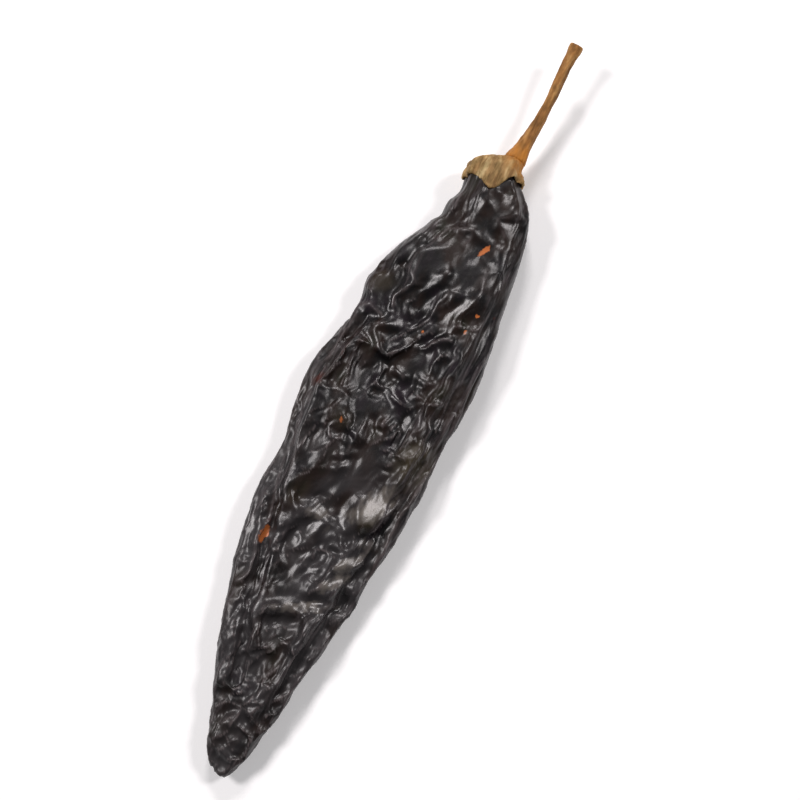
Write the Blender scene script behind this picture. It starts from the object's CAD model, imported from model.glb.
# %% [markdown]
# # A dried chilli, dressed for a photograph
# The solids of one long dried chilli are already packed: a pod, a calyx over its neck and a stem.
# This lesson gives them their looks. Dried skin is the hard part. It is nearly black, so hardly any
# of its own colour is seen, and what the eye reads instead is gloss on hundreds of creases. So the
# creases are real geometry, and the materials come after them.

import math

import bpy
import numpy as np
from mathutils import Matrix, Vector, kdtree, noise
from mathutils.bvhtree import BVHTree


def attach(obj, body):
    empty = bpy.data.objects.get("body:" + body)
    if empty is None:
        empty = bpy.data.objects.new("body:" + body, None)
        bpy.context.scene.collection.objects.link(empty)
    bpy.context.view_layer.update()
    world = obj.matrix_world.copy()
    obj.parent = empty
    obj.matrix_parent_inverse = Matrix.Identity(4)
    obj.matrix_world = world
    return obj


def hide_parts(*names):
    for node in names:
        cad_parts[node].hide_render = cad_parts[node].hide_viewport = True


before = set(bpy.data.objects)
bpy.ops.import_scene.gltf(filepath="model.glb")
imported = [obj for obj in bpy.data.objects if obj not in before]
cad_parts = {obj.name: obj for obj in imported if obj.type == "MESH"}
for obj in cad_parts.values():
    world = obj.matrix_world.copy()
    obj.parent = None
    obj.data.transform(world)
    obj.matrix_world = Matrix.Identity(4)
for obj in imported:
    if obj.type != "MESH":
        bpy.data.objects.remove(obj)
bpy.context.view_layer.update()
MM = 0.001

# %% [markdown]
# ## The photograph's camera
# The camera comes first, because the skin's marks are read off the photograph in pixels. Four facts
# fix it: which pixel shows the neck, the size of a pixel there, how far the pod leans from the
# picture's upright, and how steeply the camera looks down.

# %% Where the camera stands
NECK = Vector((62.8, -1.6, 7.6)) * MM  # the pod's end, under its calyx
NECK_PIXEL = (537, 200)
PIXEL = 0.221 * MM
LEAN = math.radians(25.5)
ELEVATION = math.radians(78)
LENS = 85
SENSOR = 36
IMAGE = 800
FRAMING = 0.82  # 1 is the photograph's own framing, less shows more round the chilli
SHIFT = (0.023, -0.065)  # slides the picture, so that tip and stem are both in it

right = Vector((math.sin(LEAN), -math.cos(LEAN), 0))
away = Vector((math.cos(LEAN), math.sin(LEAN), 0))
back = Vector((0, 0, math.sin(ELEVATION))) - away * math.cos(ELEVATION)
up = back.cross(right)


def on_picture(pixel, start):
    """A place that a pixel shows, on the upright sheet that goes through a start place."""
    across, down = pixel[0] - NECK_PIXEL[0], pixel[1] - NECK_PIXEL[1]
    return start + (right * across - up * down) * PIXEL


CAMERA_PLACE = on_picture((IMAGE / 2, IMAGE / 2), NECK) + back * IMAGE * PIXEL * LENS / SENSOR
print("the camera stands", round((CAMERA_PLACE - NECK).length / MM), "mm from the neck")

# %% [markdown]
# ## Small helpers
# An operator works on everything that is selected, and loading leaves the solids selected. So each
# helper clears the selection first, picks its own object and only then calls the operator.

# %% Pick one object, apply a modifier, copy a solid
def pick(piece):
    bpy.ops.object.select_all(action="DESELECT")
    piece.select_set(True)
    bpy.context.view_layer.objects.active = piece


def modify(piece, kind, **settings):
    """Adds a modifier, sets it and applies it."""
    pick(piece)
    modifier = piece.modifiers.new(kind.title(), kind)
    for name, value in settings.items():
        setattr(modifier, name, value)
    bpy.ops.object.modifier_apply(modifier=modifier.name)


def welded_copy(node, name):
    """A copy of a solid's mesh whose loose triangles are joined into one surface."""
    piece = bpy.data.objects.new(name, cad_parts[node].data.copy())
    bpy.context.scene.collection.objects.link(piece)
    pick(piece)
    bpy.ops.object.mode_set(mode="EDIT")
    bpy.ops.mesh.select_all(action="SELECT")
    bpy.ops.mesh.remove_doubles(threshold=0.01 * MM)
    bpy.ops.mesh.normals_make_consistent(inside=False)
    bpy.ops.object.mode_set(mode="OBJECT")
    piece.data.materials.clear()
    return piece


print("the pod's solid has", len(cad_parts["pod"].data.polygons), "triangles")

# %% [markdown]
# ## The pod's skin: an even mesh
# The solid's facets are two millimetres wide, far too coarse for creases. A voxel remesh lays an
# even grid of small squares over it and a smoothing pass takes the facets out. Later, one level of
# subdivision halves the squares. Even squares matter, because a crease can then run in any
# direction without steps.

# %% Remesh the pod
SKIN_VOXEL = 0.84 * MM

pod = welded_copy("pod", "pod_skin")
modify(pod, "REMESH", mode="VOXEL", voxel_size=SKIN_VOXEL)
modify(pod, "SMOOTH", factor=0.5, iterations=9)
print("skin:", len(pod.data.polygons), "squares")

# %% [markdown]
# ## From a pixel to a place on the pod
# A ray from the camera through a pixel meets the pod where that pixel's mark belongs. Just outside
# the pod the ray meets nothing, and the place is taken half way up the pod instead.

# %% Cast a ray through a pixel
def on_pod(pixel):
    """The x and y of the place on the pod that a pixel of the photograph shows."""
    ray = (on_picture(pixel, NECK) - CAMERA_PLACE).normalized()
    met, place, _, _ = pod.ray_cast(CAMERA_PLACE, ray)
    if not met:
        place = CAMERA_PLACE - ray * (CAMERA_PLACE.z - NECK.z) / ray.z
    return place.x, place.y


bpy.context.view_layer.update()
print("the torn spot near the neck is at", [round(v / MM, 1) for v in on_pod((525, 282))], "mm")

# %% [markdown]
# ## Numbers for every point at once
# The skin has tens of thousands of points, and a Python loop over them would be slow. numpy keeps
# their places in one table with three columns and works on whole columns. Two more helpers come
# with it: soft noise, uneven as grown things are, and a step that rises smoothly from 0 to 1 and
# blends one part of the skin into the next.

# %% Places, noise and blends
def read(piece, what="co", width=3):
    """A table with a row for each point, of its place or its normal."""
    values = np.empty(len(piece.data.vertices) * width)
    piece.data.vertices.foreach_get(what, values)
    return values.reshape(-1, width)


def write(piece, places):
    piece.data.vertices.foreach_set("co", places.ravel())
    piece.data.update()


def cloud(places, size, stretch, seed):
    """Soft noise, from about -0.7 to 0.7."""
    scaled = places / (size * np.array((stretch, 1, 1))) + seed
    return np.array([noise.noise(q) for q in scaled.tolist()])


def step(low, high, values):
    u = np.clip((values - low) / (high - low), 0, 1)
    return u * u * (3 - 2 * u)


print("the skin has", len(read(pod)), "points, up to", round(read(pod)[:, 2].max() / MM, 1), "mm high")

# %% [markdown]
# ## Neighbours
# Wrinkles come from how each point sits among its neighbours. The mesh is asked once which points
# are linked. After that, numpy's bincount adds numbers up point by point, and that takes the place
# of a loop over the neighbours of every point.

# %% Links between points
def links_of(piece):
    """The pairs of points that an edge or a square's diagonal joins."""
    mesh = piece.data
    edges = np.empty(len(mesh.edges) * 2, int)
    mesh.edges.foreach_get("vertices", edges)
    squares = np.empty(len(mesh.polygons) * 4, int)
    mesh.polygons.foreach_get("vertices", squares)
    squares = squares.reshape(-1, 4)
    return edges.reshape(-1, 2), np.concatenate([squares[:, (0, 2)], squares[:, (1, 3)]])


def unevenness(edges, values):
    """How far the middle of each point's neighbours lies from the point."""
    a, b = edges.T
    count = len(values)
    near = np.bincount(a, minlength=count) + np.bincount(b, minlength=count)
    sums = [np.bincount(a, v[b], count) + np.bincount(b, v[a], count) for v in values.T]
    return np.stack(sums, axis=1) / near[:, None] - values


print("the skin has", len(links_of(pod)[0]), "edges and", len(links_of(pod)[1]), "diagonals")

# %% [markdown]
# ## A skin that is too large for what it covers
# As the flesh dries it shrinks, and the skin, which can't shrink with it, buckles into ridges. That
# can be drawn by hand or faked with noise, but the real pattern comes from a simple rule: every
# short piece of skin wants to be longer than the room it has, it doesn't like to bend sharply, and
# it is held to the flesh below. Repeating the rule a few hundred times lets the ridges find their
# own places, as cloth simulation does.

# %% The buckling rule
DIAGONAL_FIRMNESS = 0.5  # against 1 for an edge
PULL_SHARE = 0.8  # how much of each pull a round follows


def shrivel(piece, core, facing, grain, excess_across, excess_along, stiffness, hold, depth, rounds):
    """Grows the skin in its own surface and lets it buckle. Returns where its points end up."""
    edges, diagonals = links_of(piece)
    a, b = np.concatenate([edges, diagonals]).T
    firm = np.concatenate([np.ones(len(edges)), np.full(len(diagonals), DIAGONAL_FIRMNESS)])
    count = len(core)
    total = (np.bincount(a, firm, count) + np.bincount(b, firm, count))[:, None]
    # the length that each link wants, longer across the grain than along it
    span = core[b] - core[a]
    length = np.linalg.norm(span, axis=1)
    lengthwise = ((span * (grain[a] + grain[b]) / 2).sum(axis=1) / length) ** 2
    more_across = (excess_across[a] + excess_across[b]) / 2
    more_along = (excess_along[a] + excess_along[b]) / 2
    wanted = length * (1 + more_along * lengthwise + more_across * (1 - lengthwise))
    places = read(piece)
    for _ in range(rounds):
        # every link pulls its two points together, or pushes them apart
        span = places[b] - places[a]
        length = np.linalg.norm(span, axis=1)
        pull = span * (firm * (length - wanted) / length)[:, None]
        pulls = [np.bincount(a, v, count) - np.bincount(b, v, count) for v in pull.T]
        places += PULL_SHARE * np.stack(pulls, axis=1) / total
        # a sharp bend flattens, and the flesh draws the skin back
        bulge = places - core
        places -= stiffness * unevenness(edges, unevenness(edges, bulge)) + hold * bulge
        # the flesh gives way only so far
        too_deep = np.minimum(((places - core) * facing).sum(axis=1) + depth, 0)
        places -= too_deep[:, None] * facing
    return places


print("a round follows", round(100 * PULL_SHARE), "% of each pull")

# %% [markdown]
# ## Creases by name
# Some folds are seen too clearly in the photograph to be left to chance. Each row below is one of
# them: a height and a half width, both as shares of a usual crease, and then the pixels that the
# fold runs through. It raises the skin near that line, on the upper side. A height below nought
# makes a groove.

# %% Named creases
NAMED_CREASES = (
    (0.9, 0.55, (460, 271), (482, 256), (514, 258)),
    (0.8, 0.55, (432, 300), (450, 278), (460, 271)),
    (0.9, 0.60, (432, 300), (441, 318), (416, 338), (414, 350)),
    (1.1, 0.90, (441, 320), (460, 320), (482, 306)),
    (0.7, 0.45, (514, 258), (500, 274)),
    (0.7, 0.60, (526, 262), (544, 280), (562, 280)),
    (0.9, 0.80, (542, 244), (576, 244)),
    (0.7, 0.60, (542, 244), (550, 264)),
    (0.8, 1.30, (470, 360), (490, 348), (510, 344), (522, 332), (528, 312)),
    (1.1, 1.00, (398, 372), (430, 371)),
    (1.0, 0.70, (410, 408), (430, 398), (458, 396), (484, 392)),
    (0.9, 0.60, (388, 385), (401, 405)),
    (0.9, 0.60, (404, 418), (426, 436)),
    (0.8, 0.60, (370, 348), (386, 346), (400, 360)),
    (0.8, 0.60, (384, 308), (384, 326), (388, 332)),
    (0.9, 0.70, (396, 446), (412, 448), (423, 468)),
    (1.2, 0.90, (370, 503), (384, 494), (402, 492)),
    (0.8, 0.60, (350, 531), (361, 520)),
    (0.8, 0.80, (344, 548), (365, 535)),
    (1.2, 1.20, (346, 666), (374, 655), (391, 637)),
    (1.2, 1.00, (324, 694), (340, 685), (361, 679)),
    (1.0, 1.00, (258, 718), (346, 716)),
    (0.8, 0.60, (303, 592), (322, 604), (338, 632)),
    (0.8, 0.60, (312, 622), (326, 612), (342, 600)),
    (0.9, 0.70, (252, 707), (243, 730)),
    (0.8, 0.50, (375, 350), (374, 330), (386, 314)),
    (1.0, 0.60, (372, 350), (360, 376), (330, 418), (320, 434)),
    (1.2, 0.60, (320, 434), (301, 484), (286, 524), (273, 559), (264, 606)),
    (1.0, 0.60, (264, 606), (247, 636), (239, 670), (224, 683)),
    (1.1, 0.60, (498, 479), (479, 520), (447, 567), (415, 619), (393, 662), (378, 700)),
    (0.8, 0.50, (488, 484), (466, 524), (436, 568), (412, 602)),
    (-1.2, 0.80, (292, 501), (282, 542), (274, 567), (275, 589)),
    (-1.0, 0.60, (470, 532), (432, 580), (402, 623), (385, 655), (370, 683), (350, 720)),
    (-1.5, 1.20, (472, 257), (448, 276), (425, 300)),
)
print("named creases:", len(NAMED_CREASES))

# %% [markdown]
# ## Facets that catch the light
# A crumpled glossy skin is bright where a facet happens to mirror a lamp, and dark beside it. The
# photograph's brightest patches are therefore facets too. Each row below is one of them: its middle
# in pixels, its half length and half width, the way it runs (degrees from the picture's right) and
# how fully it turns towards a lamp. A row with a number below nought is one of the smooth dark
# hollows, which is laid level instead, because level skin mirrors none of the three lamps.

# %% Facets
LAMPS = {
    "left": (Vector((-0.08, 0.66, 0.75)), 5.8),
    "right": (Vector((0.46, -0.48, 0.75)), 4.4),
    "top": (Vector((0.71, 0.34, 0.62)), 4.4),
}  # where each stands, and its power in watts
FACETS = (
    (560, 249, 16, 6, 10, 0.9),
    (522, 224, 8, 4, 30, 0.8),
    (500, 246, 7, 4, 0, 0.7),
    (525, 266, 16, 6, -30, 0.6),
    (399, 299, 8, 7, 0, 0.7),
    (462, 321, 18, 7, 25, 0.9),
    (496, 352, 24, 9, 25, 1.0),
    (482, 378, 13, 5, 15, 0.8),
    (416, 371, 16, 6, 5, 0.9),
    (391, 392, 15, 6, -55, 1.0),
    (436, 399, 26, 4, 20, 1.0),
    (416, 427, 12, 4, -35, 1.0),
    (357, 439, 8, 4, 45, 0.8),
    (381, 502, 14, 8, 45, 1.0),
    (352, 526, 9, 4, 35, 0.9),
    (432, 490, 11, 8, 45, 0.8),
    (415, 456, 14, 5, -50, 0.8),
    (470, 466, 6, 5, 0, 0.9),
    (457, 522, 12, 5, 65, 0.9),
    (355, 542, 12, 6, 25, 0.7),
    (321, 598, 15, 12, 0, 1.0),
    (322, 619, 18, 9, 0, 1.0),
    (338, 629, 9, 10, 90, 1.0),
    (362, 606, 16, 16, 0, 1.0),
    (394, 594, 28, 17, 35, 1.0),
    (381, 642, 14, 11, 35, 1.0),
    (361, 663, 21, 9, 28, 1.0),
    (342, 687, 22, 8, 25, 1.0),
    (303, 717, 46, 9, 2, 1.0),
    (311, 651, 6, 5, 0, 1.0),
    (279, 654, 10, 4, 90, 0.8),
    (254, 676, 7, 4, 90, 0.8),
    (249, 715, 16, 5, 65, 0.9),
    (227, 736, 8, 5, 60, 0.8),
    (283, 606, 11, 8, -20, 0.8),
    (262, 657, 6, 8, 0, 0.7),
    (296, 668, 9, 5, 20, 0.7),
    (330, 700, 10, 5, 20, 0.7),
    (345, 641, 9, 5, -40, 0.8),
    (300, 637, 10, 6, 0, 0.8),
    (318, 670, 10, 4, 10, 0.7),
    (362, 692, 8, 6, 40, 0.7),
    (292, 558, 8, 9, -60, 0.6),
    (268, 628, 7, 9, 90, 0.7),
    (287, 582, 14, 7, -70, 0.7),
    (556, 283, 16, 9, 60, 0.5),
    (541, 325, 12, 6, 60, 0.6),
    (460, 292, 20, 15, 20, -0.9),
    (505, 312, 22, 13, 30, -0.8),
    (400, 320, 12, 12, 0, -0.7),
    (440, 421, 14, 13, 0, -0.5),
    (388, 472, 20, 12, 0, -0.5),
    (388, 532, 14, 28, 0, -0.6),
    (352, 566, 30, 12, 10, -0.5),
    (288, 697, 24, 10, 0, -0.5),
    (243, 600, 32, 5, 78, -0.5),
    (515, 420, 40, 10, 68, -0.2),
)
print(len(FACETS), "facets, for", len(LAMPS), "lamps")

# %% [markdown]
# ## What is known about each point of the skin
# The rule acts with different strength on different parts, so every point gets a few shares from 0
# to 1. Under the calyx nothing moves. The narrow flanks wrinkle lengthwise. The stretch below the
# neck is calmer than the rest, and the far end is rougher and hazier.

# %% Shares of the skin
CALM_START, CALM_END = 25 * MM, 50 * MM  # both pairs are measured from the neck
FAR_START, FAR_END = 60 * MM, 110 * MM


def skin_fields(piece):
    """Places, facings, and the shares body, flank, upper side, calm stretch and far end."""
    places, facing = read(piece), read(piece, "normal")
    below_neck = NECK.x - places[:, 0]
    body = step(-1 * MM, 3 * MM, below_neck)
    flank = step(0.3, 0.85, np.abs(facing[:, 1]))
    upper = step(-0.1, 0.35, facing[:, 2])
    calm = step(CALM_END, CALM_START, below_neck)
    far = step(FAR_START, FAR_END, below_neck)
    return places, facing, body, flank, upper, calm, far


core, facing, body, flank, upper, calm, far = skin_fields(pod)
edge = step(0.15, 0.6, np.abs(facing[:, 1])) * body  # the flanks and the bands beside them
print(round(100 * upper.mean()), "% of the skin is upper side,", round(100 * flank.mean()), "% is flank")

# %% [markdown]
# ## Fold the named creases in
# A named crease lifts the skin on a rounded ridge, and a groove lowers it in the same way. The
# lines wander a little, or they would look ruled.

# %% Creases and grooves
CREASE_HEIGHT = 0.55 * MM
CREASE_WIDTH = 0.9  # in millimetres, of a usual crease
CREASE_REACH = 2.2 * MM  # finer folds stay this far away
WANDER = 0.7 * MM


def away_from_line(places, corners):
    """How far each place is, seen from above, from a line through a few corners."""
    nearest = np.full(len(places), 1.0)
    for start, end in zip(corners, corners[1:]):
        a, b = np.array(start), np.array(end)
        t = np.clip((places[:, :2] - a) @ (b - a) / ((b - a) @ (b - a)), 0, 1)
        off = np.linalg.norm(places[:, :2] - a - t[:, None] * (b - a), axis=1)
        nearest = np.minimum(nearest, off)
    return nearest


on_skin = {pixel: on_pod(pixel) for _, _, *pixels in NAMED_CREASES for pixel in pixels}
wandering = core + WANDER * cloud(core, 5 * MM, 1.0, 8.8)[:, None]
ridges, grooves, named = np.zeros(len(core)), np.zeros(len(core)), np.zeros(len(core))
for tall, wide, *pixels in NAMED_CREASES:
    off = away_from_line(wandering, [on_skin[pixel] for pixel in pixels])
    fold = tall * CREASE_HEIGHT / (1 + (off / (CREASE_WIDTH * wide * MM)) ** 2)
    ridges, grooves = np.maximum(ridges, fold), np.minimum(grooves, fold)
    named = np.maximum(named, np.exp(-((off / CREASE_REACH) ** 2)))
core = core + facing * ((ridges + grooves) * upper * body)[:, None]
print("creases rise to", round(ridges.max() / MM, 2), "mm")

# %% [markdown]
# ## A fuller neck
# The real pod is a little fuller on the neck's far side than its solid. Three soft pushes round it
# out. Each is a pixel, a reach in pixels and a height in millimetres. They are kept in a function,
# because the calyx has to follow them later.

# %% Shoulders
SHOULDERS = ((466, 244, 14, 1.3), (485, 228, 18, 1.7), (506, 189, 18, 1.4))
shoulder_seats = [np.array(on_pod((x, y))) for x, y, _, _ in SHOULDERS]


def fuller(places, facing):
    """How far and which way the neck's far side stands out."""
    push = np.zeros(len(places))
    for seat, (_, _, size, tall) in zip(shoulder_seats, SHOULDERS):
        off = np.linalg.norm(places[:, :2] - seat, axis=1)
        push += tall * MM * np.exp(-((off / (size * PIXEL)) ** 2))
    return facing * (push * step(0.1, 0.6, facing[:, 1]))[:, None]


push = fuller(core, facing)
core = core + push
print("the neck is up to", round(np.linalg.norm(push, axis=1).max() / MM, 2), "mm fuller")

# %% [markdown]
# ## Tilt the facets
# A facet mirrors a lamp when its normal lies half way between the way to the lamp and the way to
# the camera. Each facet turns to the lamp that it already faces most nearly, so it tips as little as
# it can. Hollows that stay dark are made first, and the bright facets are laid over their borders.

# %% Facet planes
FACET_LIMIT = 1.5 * MM
HOLLOW_SLOPE = 0.1  # what is left of the slope of a dark hollow
OVAL_REACH, OVAL_EDGE = 1.3, 1.8  # a higher edge is crisper


def oval(places, middle, long, wide, turn):
    """1 inside an oval patch, given by its half length and half width in pixels, and 0 outside it."""
    turn = math.radians(turn) + LEAN
    run = np.array((math.sin(turn), -math.cos(turn)))
    off = places[:, :2] - np.array(on_pod(middle))
    u, v = off @ run, off @ np.array((-run[1], run[0]))
    return np.exp(-(((u / long) ** 2 + (v / wide) ** 2) / (OVAL_REACH * PIXEL) ** 2) ** OVAL_EDGE)


def mirror_slope(place, lamp):
    """How steeply, along x and y, a facet at a place must rise to show the camera a lamp."""
    half = (lamp - place).normalized() + (CAMERA_PLACE - place).normalized()
    return -np.array(half.xy / half.z)


smooth, glossy = np.zeros(len(core)), np.zeros(len(core))
for x, y, long, wide, turn, tip in sorted(FACETS, key=lambda row: row[5] > 0):
    there = oval(core, (x, y), long, wide, turn) * upper
    middle = (core * there[:, None]).sum(axis=0) / there.sum()
    lean = (facing * there[:, None]).sum(axis=0)
    now = -lean[:2] / lean[2]
    slopes = [mirror_slope(Vector(middle), place) for place, _ in LAMPS.values()]
    wanted = min(slopes, key=lambda slope: np.hypot(*(slope - now))) if tip > 0 else now * HOLLOW_SLOPE
    plane = middle[2] + (core[:, :2] - middle[:2]) @ wanted
    core[:, 2] += abs(tip) * there * np.clip(plane - core[:, 2], -FACET_LIMIT, FACET_LIMIT)
    smooth = np.maximum(smooth, there)
    if tip > 0:
        glossy = np.maximum(glossy, there * tip)
print("facets cover", round(100 * (smooth > 0.5).mean()), "% of the skin")

# %% [markdown]
# ## How much too large the skin is
# The skin grows more across its grain than along it, so that ridges run along the grain: lengthwise
# on the flanks, wandering elsewhere. Facets and the calm stretch grow less, and noise makes some
# parts more crumpled than others.

# %% Room to buckle
def grain_of(places, flank, seed):
    """The way along which the ridges run."""
    turn = 2.6 * cloud(places, 22 * MM, 1.2, seed) * (1 - flank)
    return np.stack([np.cos(turn), np.sin(turn), np.zeros(len(turn))], axis=1)


rough = body * (1 - 0.95 * smooth) * (1 - 0.6 * calm)
crumpled = step(-0.35, 0.3, cloud(core, 15 * MM, 1.3, 7.1))
across = rough * (0.06 + 0.10 * crumpled + 0.05 * flank)
along = rough * (0.03 + 0.08 * crumpled) * (1 - 0.6 * flank)
print("the skin is up to", round(100 * across.max()), "% too wide")

# %% [markdown]
# ## The large ridges
# The first buckling makes ridges about three millimetres apart. Soft noise starts it, because a
# perfectly even skin would have no reason to fold in one place rather than another. The shares that
# are needed later are painted on the mesh before it is subdivided, because a subdivision carries
# them to its new points.

# %% First buckling
def paint(piece, name, values):
    layer = piece.data.attributes.new(name, "FLOAT", "POINT")
    layer.data.foreach_set("value", np.clip(values, 0, 1).astype(np.float32))


start = 0.5 * MM * cloud(core, 7 * MM, 1.1, 2.3) + 0.25 * MM * cloud(core, 3.5 * MM, 1.0, 5.3)
write(pod, core + facing * (start * rough)[:, None])
grain = grain_of(core, flank, 3.7)
places = shrivel(
    pod, core, facing, grain, across, along, stiffness=0.09, hold=0.004, depth=0.3 * MM, rounds=300
)
bulge = ((places - core) * facing).sum(axis=1)
print("large ridges stand out by up to", round(bulge.max() / MM, 2), "mm")

write(pod, places)
for name, values in (("smooth", smooth), ("glossy", glossy), ("named", named), ("edge", edge)):
    paint(pod, name, values)
modify(pod, "SUBSURF", levels=1, render_levels=1)

# %% [markdown]
# ## Folds as in crushed paper
# Buckling alone looks soft and wormy. A hard dry skin also has flat facets that meet in sharp
# lines. They come from a handful of random seeds: at each place, the squares of the distances to
# the nearest two are compared. Their difference changes in flat planes, and it is nought half way
# between the seeds, so hollows with straight ridges between them appear.

# %% Flat hollows between random seeds
def crumple(places, size, slope, seed):
    """Flat hollows that meet in sharp ridges. The ridges are at height 0."""
    low, high = places.min(axis=0), places.max(axis=0)
    count = int(np.prod((high - low) / size))
    seeds = kdtree.KDTree(count)
    for i, seat in enumerate(np.random.default_rng(seed).uniform(low, high, (count, 3))):
        seeds.insert(seat, i)
    seeds.balance()
    bent = places + 0.3 * size * cloud(places, size, 1.0, seed + 0.4)[:, None]
    near = np.array([[found[2] for found in seeds.find_n(q, 2)] for q in bent.tolist()])
    return slope / 2 * (near[:, 0] ** 2 - near[:, 1] ** 2) / size


print("folds will be made for", len(pod.data.vertices), "points")

# %% [markdown]
# ## Fold the skin
# Large and small folds are added up. The photograph's folds are longer than they are wide and run
# up to the right, so the places are squeezed along that way first. Facets and named creases keep
# most of their shape. Long narrow folds cover the two edges.

# %% Folds
FOLD_TILT = math.radians(-30)  # from the pod's length
FOLD_SQUEEZE = 0.6
SIDE_SQUEEZE = 0.2
LARGE_FOLDS, SMALL_FOLDS = (6 * MM, 0.24, 3), (2.9 * MM, 0.18, 5)  # size, slope and seed
SIDE_FOLDS = (2.6 * MM, 0.55, 7)


def painted_on(piece, name):
    values = np.empty(len(piece.data.vertices), np.float32)
    piece.data.attributes[name].data.foreach_get("value", values)
    return values


core, facing, body, flank, upper, calm, far = skin_fields(pod)
smooth, named, edge = (painted_on(pod, name) for name in ("smooth", "named", "edge"))
cos, sin = math.cos(FOLD_TILT), math.sin(FOLD_TILT)
squeezed = core @ np.array(((FOLD_SQUEEZE * cos, -sin, 0), (FOLD_SQUEEZE * sin, cos, 0), (0, 0, 1)))
folds = crumple(squeezed, *LARGE_FOLDS) + crumple(squeezed, *SMALL_FOLDS)
kept = body * (1 - 0.72 * smooth) * (1 - 0.6 * named) * (1 - 0.8 * flank) * (1 - 0.4 * edge)
kept *= (1 + 0.5 * far) * (1 - 0.45 * calm)
side_folds = crumple(core * (SIDE_SQUEEZE, 1, 1), *SIDE_FOLDS)
side_folds *= np.maximum(flank * body, 0.6 * edge)
side_folds *= 1 - 0.35 * calm
core = core + facing * (folds * kept + side_folds)[:, None]
print("the deepest fold sinks", round(-folds.min() / MM, 2), "mm")

# %% [markdown]
# ## The fine ridges
# The finer mesh is buckled once more, with a stiffness that gives ridges about a millimetre apart,
# in patches. Nothing may sink into the table that the chilli lies on.

# %% Second buckling
body = body * (1 - 0.6 * smooth) * (1 - 0.5 * calm)
crumpled = step(-0.1, 0.4, cloud(core, 9 * MM, 1.2, 4.1))
across = body * (0.015 + 0.075 * crumpled + 0.03 * flank)
along = body * (0.01 + 0.055 * crumpled) * (1 - 0.8 * flank)
start = 0.10 * MM * cloud(core, 2.5 * MM, 1.2, 6.3)
write(pod, core + facing * (start * body)[:, None])
grain = grain_of(core, flank, 9.2)
places = shrivel(
    pod, core, facing, grain, across, along, stiffness=0.11, hold=0.006, depth=0.1 * MM, rounds=70
)
places[:, 2] = np.maximum(places[:, 2], 0)
write(pod, places)
pick(pod)
bpy.ops.object.shade_smooth()
print("the skin has", len(pod.data.polygons) * 2, "triangles")

# %% [markdown]
# ## Spots on the skin
# Torn spots show the orange flesh below, and round some of them the skin is rusty. Here and there it
# is a little olive, or pale where it has lifted off the flesh. All are read off the photograph as
# ovals, made ragged with noise, and painted on the points, where a material can read them.

# %% Torn, rusty, olive and pale spots
SPOTS = {
    "torn": (
        (525, 282, 9, 2.6, 40, 1.0),
        (257, 627, 10, 4.0, 62, 1.0),
        (351, 489, 5, 2.4, 80, 0.62),
        (517, 362, 2.6, 2.4, 0, 0.9),
        (502, 381, 2.6, 2.4, 0, 0.8),
        (450, 381, 2.4, 2.2, 0, 0.6),
    ),
    "rusty": (
        (322, 438, 12, 7, 45, 1.0),
        (262, 613, 8, 4, 62, 1.0),
        (537, 362, 4, 3, 60, 0.8),
        (345, 480, 14, 8, 30, 0.6),
        (355, 400, 26, 5, 55, 0.7),
        (262, 690, 14, 10, 30, 0.6),
        (505, 312, 20, 10, 30, 0.4),
    ),
    "olive": (
        (440, 545, 22, 18, 45, 1.0),
        (352, 485, 9, 9, 0, 0.4),
        (400, 318, 12, 10, 0, 0.4),
        (300, 575, 14, 10, 60, 0.3),
        (385, 612, 12, 6, 35, 0.6),
    ),
    "pale": (
        (396, 592, 28, 14, 35, 1.0),
        (362, 604, 10, 12, 0, 0.6),
        (321, 600, 14, 9, 0, 0.7),
        (334, 622, 12, 5, 40, 0.4),
        (381, 641, 13, 9, 35, 0.6),
        (361, 663, 20, 7, 28, 0.9),
        (342, 687, 21, 7, 25, 0.9),
        (303, 717, 44, 7, 2, 0.7),
        (496, 352, 20, 6, 25, 0.5),
    ),
}

final, turned = read(pod), read(pod, "normal")
top = step(-0.1, 0.3, turned[:, 2])
ragged = final + 0.6 * MM * cloud(final, 1.6 * MM, 1.0, 3.1)[:, None]
for name, rows in SPOTS.items():
    amount = np.zeros(len(final))
    for x, y, long, wide, turn, strength in rows:
        amount = np.maximum(amount, strength * oval(ragged, (x, y), long, wide, turn))
    paint(pod, name, amount * top)
    print(name, "points:", int((amount * top > 0.2).sum()))

# %% [markdown]
# ## Worn crests and haze
# Crests rub first and turn a dull purplish grey. A point is on a crest when it stands out above the
# middle of its neighbours. The named creases are rubbed along their whole line, and the far end has
# a faint haze.

# %% Worn crests and haze
CREST_LOW, CREST_HIGH = 0.03 * MM, 0.09 * MM
RUBBED_LINE = 0.4 * MM

crest = -(unevenness(links_of(pod)[0], final) * turned).sum(axis=1)
worn = step(CREST_LOW, CREST_HIGH, crest)
wandering = final + WANDER * cloud(final, 5 * MM, 1.0, 8.8)[:, None]
for tall, _, *pixels in NAMED_CREASES:
    if tall > 0:
        off = away_from_line(wandering, [on_skin[pixel] for pixel in pixels])
        worn = np.maximum(worn, 0.5 * (1 - smooth) * top * np.exp(-((off / RUBBED_LINE) ** 2)))
paint(pod, "worn", worn * (0.75 + 0.5 * cloud(final, 1.2 * MM, 1.0, 7.7)))
haze = step(FAR_START, FAR_END, NECK.x - final[:, 0])
paint(pod, "hazy", haze * step(-0.3, 0.3, cloud(final, 8 * MM, 1.5, 5.5)))
for name in ("smooth", "named"):
    pod.data.attributes.remove(pod.data.attributes[name])
print("worn points:", int((worn > 0.3).sum()))

# %% [markdown]
# ## Patterns and shares for materials
# Every pattern reads object coordinates, so it sits still on the piece from any side. A share that
# was painted on the points is read by its name.

# %% Patterns and painted shares
def new_material(name):
    material = bpy.data.materials.new(name)
    material.use_nodes = True
    return material, material.node_tree, material.node_tree.nodes["Principled BSDF"]


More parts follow.
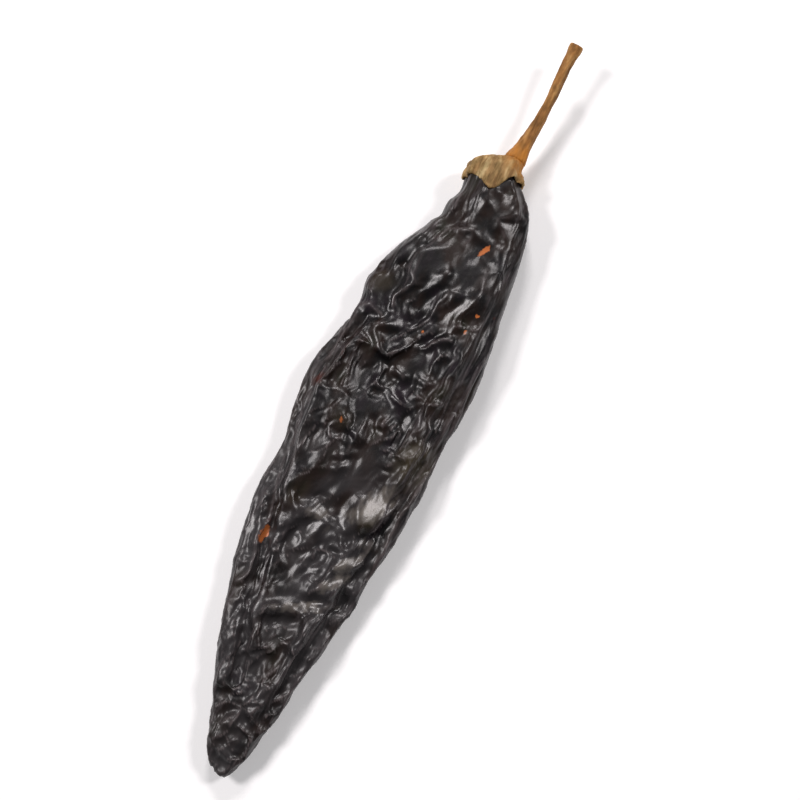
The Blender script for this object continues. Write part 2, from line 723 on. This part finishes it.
def pattern(tree, scale, stretch=(1, 1, 1), detail=4.0):
    """Noise, scale in patches to a metre."""
    place = tree.nodes.new("ShaderNodeTexCoord")
    mapping = tree.nodes.new("ShaderNodeMapping")
    mapping.inputs["Scale"].default_value = stretch
    texture = tree.nodes.new("ShaderNodeTexNoise")
    texture.inputs["Scale"].default_value = scale
    texture.inputs["Detail"].default_value = detail
    tree.links.new(place.outputs["Object"], mapping.inputs["Vector"])
    tree.links.new(mapping.outputs["Vector"], texture.inputs["Vector"])
    return texture.outputs[0]


def painted(tree, name):
    """A share that was painted on the points."""
    reader = tree.nodes.new("ShaderNodeAttribute")
    reader.attribute_name = name
    return reader.outputs["Fac"]


print("materials will read", [a.name for a in pod.data.attributes if a.data_type == "FLOAT"])

# %% [markdown]
# ## Ramps, mixes and bump
# A ramp turns noise into colours or into a roughness. A mix lays one finish over another by a
# share. A product lets noise eat at a share. A bump bends only the light, so it is kept for grain
# that is too fine for geometry.

# %% Ramps, products, mixes and bump
def ramp(tree, source, *stops):
    """Each stop is a place from 0 to 1 and a colour, or a single number for a grey."""
    made = tree.nodes.new("ShaderNodeValToRGB")
    band = made.color_ramp
    for i, (where, colour) in enumerate(stops):
        stop = band.elements[i] if i < 2 else band.elements.new(where)
        stop.position = where
        stop.color = (*colour, 1) if isinstance(colour, tuple) else (colour, colour, colour, 1)
    tree.links.new(source, made.inputs[0])
    return made.outputs[0]


def times(tree, first, second):
    product = tree.nodes.new("ShaderNodeMath")
    product.operation = "MULTIPLY"
    tree.links.new(first, product.inputs[0])
    tree.links.new(second, product.inputs[1])
    return product.outputs[0]


def mix(tree, amount, first, second, blend="MIX"):
    made = tree.nodes.new("ShaderNodeMix")
    made.data_type, made.blend_type = "RGBA", blend
    for i, value in ((0, amount), (6, first), (7, second)):
        if isinstance(value, float):
            made.inputs[i].default_value = value
        elif isinstance(value, tuple):
            made.inputs[i].default_value = (*value, 1)
        else:
            tree.links.new(value, made.inputs[i])
    return made.outputs[2]


def bump(tree, shader, source, strength, depth):
    made = tree.nodes.new("ShaderNodeBump")
    made.inputs["Strength"].default_value = strength
    made.inputs["Distance"].default_value = depth
    tree.links.new(source, made.inputs["Height"])
    tree.links.new(made.outputs[0], shader.inputs["Normal"])


print("helpers:", [helper.__name__ for helper in (ramp, times, mix, bump)])

# %% [markdown]
# ## The skin's colour
# The skin is nearly black, and patches of it lean to purple, brown or olive. Over that lie, in
# order, olive and rusty spots, fine pale dust, the haze, the pale patches, fine lines along the two
# edges, the worn crests and the torn flesh. Noise breaks up the rusty, pale and torn spots, so that
# their edges look eaten rather than airbrushed.

# %% Colours of the skin
PURPLE, BLACK = (0.0105, 0.0060, 0.0095), (0.0045, 0.0038, 0.0040)
BROWN, GREENISH = (0.0150, 0.0080, 0.0060), (0.0110, 0.0095, 0.0050)
OLIVE, RUST, FLESH = (0.040, 0.031, 0.017), (0.060, 0.014, 0.009), (0.42, 0.12, 0.03)
DUST, HAZE, LINE = (0.045, 0.033, 0.030), (0.026, 0.023, 0.024), (0.050, 0.041, 0.043)
LIFTED, RUBBED = (0.150, 0.132, 0.115), (0.100, 0.082, 0.082)

skin, tree, shader = new_material("waxy_skin")
patches = pattern(tree, 130, (0.6, 1, 1), 6.0)
colour = ramp(tree, patches, (0.30, PURPLE), (0.44, BLACK), (0.58, BROWN), (0.70, GREENISH))
colour = mix(tree, painted(tree, "olive"), colour, OLIVE)
rust = times(tree, painted(tree, "rusty"), pattern(tree, 500, (0.5, 1, 1), 6.0))
colour = mix(tree, ramp(tree, rust, (0.34, 0.0), (0.56, 1.0)), colour, RUST)
dust = ramp(tree, pattern(tree, 2600, (0.8, 1, 1), 2.0), (0.60, 0.0), (0.72, 0.25))
colour = mix(tree, dust, colour, DUST)
colour = mix(tree, painted(tree, "hazy"), colour, HAZE)
lifted = times(tree, painted(tree, "pale"), pattern(tree, 420, (0.5, 1, 1), 5.0))
colour = mix(tree, ramp(tree, lifted, (0.22, 0.0), (0.55, 1.0)), colour, LIFTED)
lines = ramp(tree, pattern(tree, 1000, (0.05, 1, 1), 4.0), (0.50, 0.0), (0.66, 1.0))
colour = mix(tree, times(tree, painted(tree, "edge"), lines), colour, LINE)
colour = mix(tree, painted(tree, "worn"), colour, RUBBED)
flesh = times(tree, painted(tree, "torn"), pattern(tree, 900))
colour = mix(tree, ramp(tree, flesh, (0.22, 0.0), (0.38, 1.0)), colour, FLESH)
tree.links.new(colour, shader.inputs["Base Color"])
print("skin colour has", len(tree.nodes), "nodes")

# %% [markdown]
# ## The skin's gloss
# The shine of a dried pod is waxy, not wet, so the roughness stays between 0.30 and 0.42 and only
# the bright facets are a little smoother. The finest grain, far under a tenth of a millimetre, is
# left to bump.

# %% Gloss and grain of the skin
SMOOTHEST, ROUGHEST, FACET_ROUGHNESS = 0.30, 0.42, 0.29
SKIN_SPECULAR = 0.40

gloss = ramp(tree, pattern(tree, 160, (0.6, 1, 1)), (0.3, SMOOTHEST), (0.75, ROUGHEST))
gloss = mix(tree, painted(tree, "glossy"), gloss, (FACET_ROUGHNESS,) * 3)
tree.links.new(gloss, shader.inputs["Roughness"])
shader.inputs["Specular IOR Level"].default_value = SKIN_SPECULAR
bump(tree, shader, pattern(tree, 900, (0.6, 1, 1), 6.0), 0.4, 0.2 * MM)
pod.data.materials.append(skin)
print("finish of the pod:", skin.name)

# %% [markdown]
# ## Calyx
# The calyx is the dry papery cap that joined the pod to its stem. Its solid has the right outline,
# but a cap's rim is as thin as paper and lies on the skin. A fine remesh gives it enough points, and
# its middle lobe, which the photograph shows longest, is drawn 1.5 mm towards the tip. Where the neck
# was made fuller, the cap is made fuller with it.

# %% Calyx and its middle lobe
LOBE_LENGTH = 1.5 * MM
LOBE_WIDTH = 3.2 * MM
LOBE_REACH = 4 * MM  # from the neck

calyx = welded_copy("calyx", "calyx_cap")
modify(calyx, "REMESH", mode="VOXEL", voxel_size=0.2 * MM)
modify(calyx, "SMOOTH", factor=0.5, iterations=3)
places, facing = read(calyx), read(calyx, "normal")
outside = step(-0.2, 0.4, facing[:, 2] + (places[:, 2] > NECK.z))
lobe = np.exp(-(((places[:, 1] - NECK.y) / LOBE_WIDTH) ** 2)) * outside
places += fuller(places, facing)
moved = places.copy()
moved[:, 0] -= LOBE_LENGTH * lobe * step(LOBE_REACH, 0, places[:, 0] - NECK.x)
print("the calyx has", len(calyx.data.polygons) * 2, "triangles")

# %% [markdown]
# ## A rim that hugs the skin
# The pod under the rim has been buckled, so the rim would float over its hollows and cut through
# its ridges. Each point near the rim asks how far it was from the skin, finds the nearest place on
# the skin that is there now, and moves to a slightly smaller distance from it.

# %% Rim and fibres
RIM_START, RIM_END = 1.5 * MM, 3.5 * MM  # it hugs fully up to the first, and not past the second
PRESSED, THINNEST = 0.4 * MM, 0.05 * MM  # how much nearer it lies, and its least gap

skin_now = BVHTree.FromPolygons(read(pod).tolist(), [tuple(f.vertices) for f in pod.data.polygons])
near_rim = np.flatnonzero(places[:, 0] < NECK.x + RIM_END)
for i in near_rim:
    gap = skin_now.find_nearest(places[i].tolist())[3]
    seat, out, _, _ = skin_now.find_nearest(moved[i].tolist())
    hugging = np.array(seat + out * max(gap - PRESSED, THINNEST))
    moved[i] += step(RIM_END, RIM_START, places[i, 0] - NECK.x) * (hugging - moved[i])
fibres = 0.16 * MM * cloud(moved, 0.55 * MM, 5.0, 2.2) + 0.22 * MM * cloud(moved, 2.2 * MM, 1.0, 5.1)
write(calyx, moved + facing * fibres[:, None])
print(len(near_rim), "points of the calyx follow the skin")

# %% [markdown]
# ## Stem
# The stem keeps the shape of its solid, which already bends and thickens as the photograph shows.
# Two levels of subdivision round it, long noise flutes it, and its foot is widened and sunk half a
# millimetre into the calyx, because the two grew as one.

# %% Stem
FOOT = Vector((70.8, -3.9, 8.0)) * MM  # where the stem rises from the calyx
FOOT_LENGTH = 6 * MM
FOOT_SPREAD = FOOT_SUNK = 0.5 * MM

stem = welded_copy("stem", "stem_stalk")
modify(stem, "SUBSURF", levels=2, render_levels=2)
places, facing = read(stem), read(stem, "normal")
foot = step(FOOT_LENGTH, 0, np.linalg.norm(places - np.array(FOOT), axis=1))
flutes = 0.28 * MM * cloud(places, 1.0 * MM, 9.0, 4.4) + 0.12 * MM * cloud(places, 0.45 * MM, 5.0, 1.4)
places += facing * (flutes + FOOT_SPREAD * foot)[:, None]
places[:, 0] -= FOOT_SUNK * foot
write(stem, places)
print("the stem has", len(stem.data.polygons) * 2, "triangles")

# %% [markdown]
# ## Dry plant fibre
# Calyx and stem are the same stuff in two colours: light and dark streaks along the fibres, with
# blotches over them. Where the stem leaves the calyx both are still orange. The two share one
# recipe, so that they look grown together.

# %% Finish of calyx and stem
DRY = {
    "calyx_cap": ((0.170, 0.090, 0.028), (0.350, 0.215, 0.085), (0.580, 0.430, 0.220)),
    "stem_stalk": ((0.190, 0.080, 0.018), (0.330, 0.150, 0.038), (0.460, 0.250, 0.085)),
}  # dark, plain and light streaks
RIPE = (0.40, 0.150, 0.016)
RIPE_MIDDLE = np.array(FOOT) + np.array((0.5, -1.0, 1.0)) * MM
RIPE_FULL, RIPE_END = 1.5 * MM, 7.5 * MM  # from its middle
DRY_ROUGHNESS, DRY_SPECULAR = 0.72, 0.3

for piece in (calyx, stem):
    dark, plain, light = DRY[piece.name]
    places = read(piece)
    ripe = step(RIPE_END, RIPE_FULL, np.linalg.norm(places - RIPE_MIDDLE, axis=1))
    paint(piece, "ripe", ripe * (0.8 + 0.6 * cloud(places, 1.5 * MM, 1.5, 6.6)))
    finish, tree, shader = new_material(piece.name + "_finish")
    fibre = pattern(tree, 700, (0.15, 1, 1), 6.0)
    streaks = ramp(tree, fibre, (0.32, dark), (0.52, plain), (0.72, light))
    blotch = pattern(tree, 600, (0.6, 1, 1), 8.0)
    blotches = ramp(tree, blotch, (0.38, (0.60, 0.60, 0.52)), (0.58, 1.0))
    colour = mix(tree, 1.0, streaks, blotches, "MULTIPLY")
    colour = mix(tree, painted(tree, "ripe"), colour, RIPE)
    tree.links.new(colour, shader.inputs["Base Color"])
    shader.inputs["Roughness"].default_value = DRY_ROUGHNESS
    shader.inputs["Specular IOR Level"].default_value = DRY_SPECULAR
    bump(tree, shader, pattern(tree, 1800, (0.25, 1, 1), 6.0), 0.8, 0.2 * MM)
    piece.data.materials.append(finish)
    pick(piece)
    bpy.ops.object.shade_smooth()
    print(piece.name, "is finished, ripe at", int((ripe > 0.5).sum()), "points")

# %% [markdown]
# ## Join the looks to the solids
# Each dressed piece rides on the chilli's one body, takes the place of its solid and keeps the
# solid's material slot.

# %% Ride, replace and slot
for piece, name, slot in ((pod, "pod", "pod_skin"), (calyx, "calyx", "calyx"), (stem, "stem", "stem")):
    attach(piece, "root")
    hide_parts(name)
    print(piece.name, "replaces", name)

# %% [markdown]
# ## Floor
# The photograph's ground is plain white, with only faint shadows. A matt white plane is enough. It
# glows a little, which lifts it to full white without lamps so strong that the skin would glare.

# %% White floor
FLOOR_WHITE, FLOOR_GLOW = 0.92, 0.12

bpy.ops.object.select_all(action="DESELECT")
bpy.ops.mesh.primitive_plane_add(size=6, location=(0, 0, 0))
floor = bpy.context.active_object
floor.name = "floor"
paper, tree, shader = new_material("floor_paper")
shader.inputs["Base Color"].default_value = (FLOOR_WHITE, FLOOR_WHITE, FLOOR_WHITE, 1)
shader.inputs["Emission Color"].default_value = (1, 1, 1, 1)
shader.inputs["Emission Strength"].default_value = FLOOR_GLOW
shader.inputs["Roughness"].default_value = 0.9
floor.data.materials.append(paper)
print("floor:", [round(v, 2) for v in floor.dimensions], "m")

# %% [markdown]
# ## Light
# Three softboxes stand where the facets expect them. Their size matters as much as their power: a
# larger one makes every highlight wider, and a smaller one makes it a hard spark. The sky is dim, so
# that the skin between the highlights stays dark.

# %% Softboxes and a dim sky
BOX_SIZE = 0.20
LAMP_TINT = (1.0, 0.955, 0.96)
SKY_TINT, SKY_STRENGTH = (0.9, 0.95, 1.0), 0.11

world = bpy.data.worlds.new("studio")
bpy.context.scene.world = world
world.use_nodes = True
sky = world.node_tree.nodes["Background"]
sky.inputs["Color"].default_value = (*SKY_TINT, 1)
sky.inputs["Strength"].default_value = SKY_STRENGTH
for name, (place, power) in LAMPS.items():
    light = bpy.data.lights.new(name, "AREA")
    light.shape, light.size, light.energy = "SQUARE", BOX_SIZE, power
    light.color = LAMP_TINT
    lamp = bpy.data.objects.new(name, light)
    bpy.context.scene.collection.objects.link(lamp)
    lamp.location = place
    lamp.rotation_euler = (-place).to_track_quat("-Z", "Y").to_euler()
    print(name, "softbox,", power, "W,", round(place.length, 2), "m away")

# %% [markdown]
# ## Camera
# The camera stands where the photograph's camera stood. The photograph cuts the tip and the stem's
# end off, and a slightly shorter lens shows them, from the same place and so with the same
# perspective.

# %% Camera
camera = bpy.data.objects.new("camera", bpy.data.cameras.new("camera"))
bpy.context.scene.collection.objects.link(camera)
bpy.context.scene.camera = camera
camera.data.sensor_width = SENSOR
camera.data.lens = LENS * FRAMING
camera.data.shift_x, camera.data.shift_y = SHIFT
camera.matrix_world = Matrix((right, up, back)).transposed().to_4x4()
camera.location = CAMERA_PLACE
bpy.context.scene.view_settings.view_transform = "Standard"
print("lens:", round(camera.data.lens, 1), "mm")
